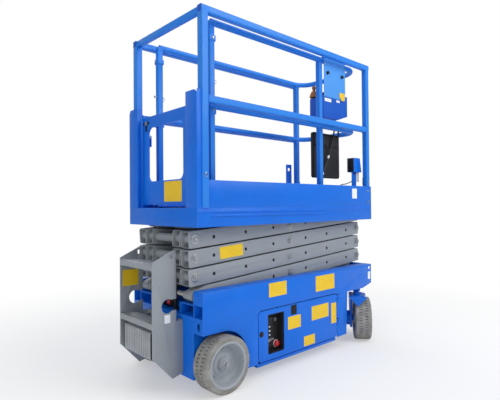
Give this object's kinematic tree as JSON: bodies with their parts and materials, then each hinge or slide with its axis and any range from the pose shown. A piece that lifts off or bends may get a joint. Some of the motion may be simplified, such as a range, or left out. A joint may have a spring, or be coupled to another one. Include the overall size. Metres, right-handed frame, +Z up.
{
  "type": "scissor lift",
  "caption": "Self-propelled electric slab scissor lift: steerable chassis, stacked scissor arms with a lift cylinder, railed platform with roll-out deck, ladder and swing-out trays.",
  "frame": {"origin": "on the ground, at the middle of the overall length and width", "axes": "+X towards the steered wheels and the platform controls, +Y to the left, +Z up"},
  "size_m": [1.8122, 0.9458, 2.05],
  "materials": {
    "blue_paint": "gloss paint",
    "rail_paint": "gloss paint",
    "box_paint": "gloss paint",
    "grey_paint": "satin paint",
    "chrome_rod": "polished",
    "bare_steel": "zinc plated",
    "charger_aluminium": "anodised fins",
    "tyre_rubber": "non-marking rubber, scuffed",
    "wheel_cast": "cast, painted light grey",
    "black_plastic": "textured",
    "joystick_boot": "moulded"
  },
  "bodies": {
    "chassis": {"chassis_pan": "blue_paint", "side_plate_right": "blue_paint", "side_plate_left": "blue_paint", "slide_channel_right": "blue_paint", "slide_channel_left": "blue_paint", "underframe": "blue_paint", "ladder": "grey_paint", "battery_charger": "charger_aluminium"},
    "control_tray": {"control_tray": "blue_paint", "ground_controls": "black_plastic", "power_unit": "black_plastic"},
    "battery_tray": {"battery_tray": "blue_paint", "battery_pack": "black_plastic"},
    "platform": {"platform_deck": "blue_paint", "deck_skirt_right": "blue_paint", "deck_skirt_left": "blue_paint", "toe_board_right": "blue_paint", "toe_board_left": "blue_paint", "main_rails_right": "rail_paint", "main_rails_left": "rail_paint", "entry_pillar_right": "blue_paint", "entry_pillar_left": "blue_paint", "entry_top_rail": "rail_paint"},
    "extension": {"extension_deck": "blue_paint", "extension_rails": "rail_paint", "control_box": "box_paint", "joystick": "joystick_boot", "control_cable": "black_plastic", "cable_socket": "black_plastic", "manual_box": "black_plastic", "outlet_box": "blue_paint"},
    "gate": {"entry_gate": "blue_paint"},
    "cylinder_barrel": {"cylinder_barrel": "grey_paint"},
    "cylinder_rod": {"cylinder_rod": "chrome_rod"},
    "tie_rod": {"tie_rod": "bare_steel"},
    "outer_arm_1": {"outer_arm_1": "grey_paint"},
    "inner_arm_1": {"inner_arm_1": "grey_paint"},
    "outer_arm_2": {"outer_arm_2": "grey_paint"},
    "inner_arm_2": {"inner_arm_2": "grey_paint"},
    "outer_arm_3": {"outer_arm_3": "grey_paint"},
    "inner_arm_3": {"inner_arm_3": "grey_paint"},
    "outer_arm_4": {"outer_arm_4": "grey_paint"},
    "inner_arm_4": {"inner_arm_4": "grey_paint"},
    "knuckle_right": {"knuckle_right": "blue_paint"},
    "knuckle_left": {"knuckle_left": "blue_paint"},
    "wheel_rear_right": {"tyre_rear_right": "tyre_rubber", "hub_rear_right": "wheel_cast"},
    "wheel_front_right": {"tyre_front_right": "tyre_rubber", "hub_front_right": "wheel_cast"},
    "pothole_guard_right": {"pothole_guard_right": "blue_paint"},
    "wheel_rear_left": {"tyre_rear_left": "tyre_rubber", "hub_rear_left": "wheel_cast"},
    "wheel_front_left": {"tyre_front_left": "tyre_rubber", "hub_front_left": "wheel_cast"},
    "pothole_guard_left": {"pothole_guard_left": "blue_paint"}
  },
  "joints": [
    {"name": "lift", "type": "hinge", "parent": "chassis", "child": "outer_arm_1", "pos_m": [-0.69212, 0, 0.51], "axis": [0, -1, 0], "range_deg": [0, 55]},
    {"name": "centre_pin_1", "type": "hinge", "parent": "outer_arm_1", "child": "inner_arm_1", "pos_m": [0.06213, 0, 0.561], "axis": [0, -1, 0], "range_deg": [-111, 1]},
    {"name": "link_pin_1", "type": "hinge", "parent": "inner_arm_1", "child": "outer_arm_2", "pos_m": [-0.69212, 0, 0.612], "axis": [0, -1, 0], "range_deg": [-1, 111]},
    {"name": "centre_pin_2", "type": "hinge", "parent": "outer_arm_2", "child": "inner_arm_2", "pos_m": [0.06213, 0, 0.663], "axis": [0, -1, 0], "range_deg": [-111, 1]},
    {"name": "link_pin_2", "type": "hinge", "parent": "inner_arm_2", "child": "outer_arm_3", "pos_m": [-0.69212, 0, 0.714], "axis": [0, -1, 0], "range_deg": [-1, 111]},
    {"name": "centre_pin_3", "type": "hinge", "parent": "outer_arm_3", "child": "inner_arm_3", "pos_m": [0.06213, 0, 0.765], "axis": [0, -1, 0], "range_deg": [-111, 1]},
    {"name": "link_pin_3", "type": "hinge", "parent": "inner_arm_3", "child": "outer_arm_4", "pos_m": [-0.69212, 0, 0.816], "axis": [0, -1, 0], "range_deg": [-1, 111]},
    {"name": "centre_pin_4", "type": "hinge", "parent": "outer_arm_4", "child": "inner_arm_4", "pos_m": [0.06213, 0, 0.867], "axis": [0, -1, 0], "range_deg": [-111, 1]},
    {"name": "platform_level", "type": "hinge", "parent": "inner_arm_4", "child": "platform", "pos_m": [-0.69212, 0, 0.918], "axis": [0, -1, 0], "range_deg": [-1, 56]},
    {"name": "cylinder_foot", "type": "hinge", "parent": "inner_arm_1", "child": "cylinder_barrel", "pos_m": [-0.54055, 0, 0.54161], "axis": [0, -1, 0], "range_deg": [-1, 111]},
    {"name": "cylinder_stroke", "type": "slide", "parent": "cylinder_barrel", "child": "cylinder_rod", "axis": [0.9716, 0, 0.2365], "range_m": [-0.001, 0.7137]},
    {"name": "extension_slide", "type": "slide", "parent": "platform", "child": "extension", "axis": [1, 0, 0], "range_m": [0, 0.9]},
    {"name": "gate_hinge", "type": "hinge", "parent": "platform", "child": "gate", "pos_m": [-0.68812, -0.244, 1.27], "axis": [0, 0, -1], "range_deg": [0, 85]},
    {"name": "steer", "type": "hinge", "parent": "chassis", "child": "knuckle_right", "pos_m": [0.73788, -0.312, 0.35], "axis": [0, 0, 1], "range_deg": [-105, 25]},
    {"name": "steer_left", "type": "hinge", "parent": "chassis", "child": "knuckle_left", "pos_m": [0.73788, 0.312, 0.35], "axis": [0, 0, 1], "range_deg": [-106, 26]},
    {"name": "tie_rod_pin", "type": "hinge", "parent": "knuckle_right", "child": "tie_rod", "pos_m": [0.81448, -0.24772, 0.35], "axis": [0, 0, 1], "range_deg": [-26, 106]},
    {"name": "spin_rear_right", "type": "hinge", "parent": "chassis", "child": "wheel_rear_right", "pos_m": [-0.58212, -0.348, 0.1525], "axis": [0, 1, 0], "continuous": true},
    {"name": "spin_front_right", "type": "hinge", "parent": "knuckle_right", "child": "wheel_front_right", "pos_m": [0.76102, -0.33958, 0.1525], "axis": [-0.6428, 0.766, 0], "continuous": true},
    {"name": "guard_right", "type": "hinge", "parent": "chassis", "child": "pothole_guard_right", "pos_m": [0.04388, -0.23, 0.072], "axis": [1, 0, 0], "range_deg": [0, 18.5]},
    {"name": "spin_rear_left", "type": "hinge", "parent": "chassis", "child": "wheel_rear_left", "pos_m": [-0.58212, 0.348, 0.1525], "axis": [0, 1, 0], "continuous": true},
    {"name": "spin_front_left", "type": "hinge", "parent": "knuckle_left", "child": "wheel_front_left", "pos_m": [0.71474, 0.33958, 0.1525], "axis": [-0.6428, 0.766, 0], "continuous": true},
    {"name": "guard_left", "type": "hinge", "parent": "chassis", "child": "pothole_guard_left", "pos_m": [0.04388, 0.23, 0.072], "axis": [-1, 0, 0], "range_deg": [0, 18.5]},
    {"name": "control_tray_hinge", "type": "hinge", "parent": "chassis", "child": "control_tray", "pos_m": [0.43588, -0.366, 0.27], "axis": [0, 0, 1], "range_deg": [0, 90]},
    {"name": "battery_tray_hinge", "type": "hinge", "parent": "chassis", "child": "battery_tray", "pos_m": [0.43588, 0.366, 0.27], "axis": [0, 0, -1], "range_deg": [0, 90]}
  ],
  "couplings": [
    {"joint": "centre_pin_1", "follows": "lift", "ratio": -2},
    {"joint": "link_pin_1", "follows": "lift", "ratio": 2},
    {"joint": "centre_pin_2", "follows": "lift", "ratio": -2},
    {"joint": "link_pin_2", "follows": "lift", "ratio": 2},
    {"joint": "centre_pin_3", "follows": "lift", "ratio": -2},
    {"joint": "link_pin_3", "follows": "lift", "ratio": 2},
    {"joint": "centre_pin_4", "follows": "lift", "ratio": -2},
    {"joint": "platform_level", "follows": "lift", "ratio": 1},
    {"joint": "cylinder_foot", "follows": "lift", "ratio": 1.9908},
    {"joint": "cylinder_stroke", "follows": "lift", "m_per_rad": 0.74243},
    {"joint": "steer_left", "follows": "steer", "ratio": 1},
    {"joint": "tie_rod_pin", "follows": "steer", "ratio": -1}
  ]
}
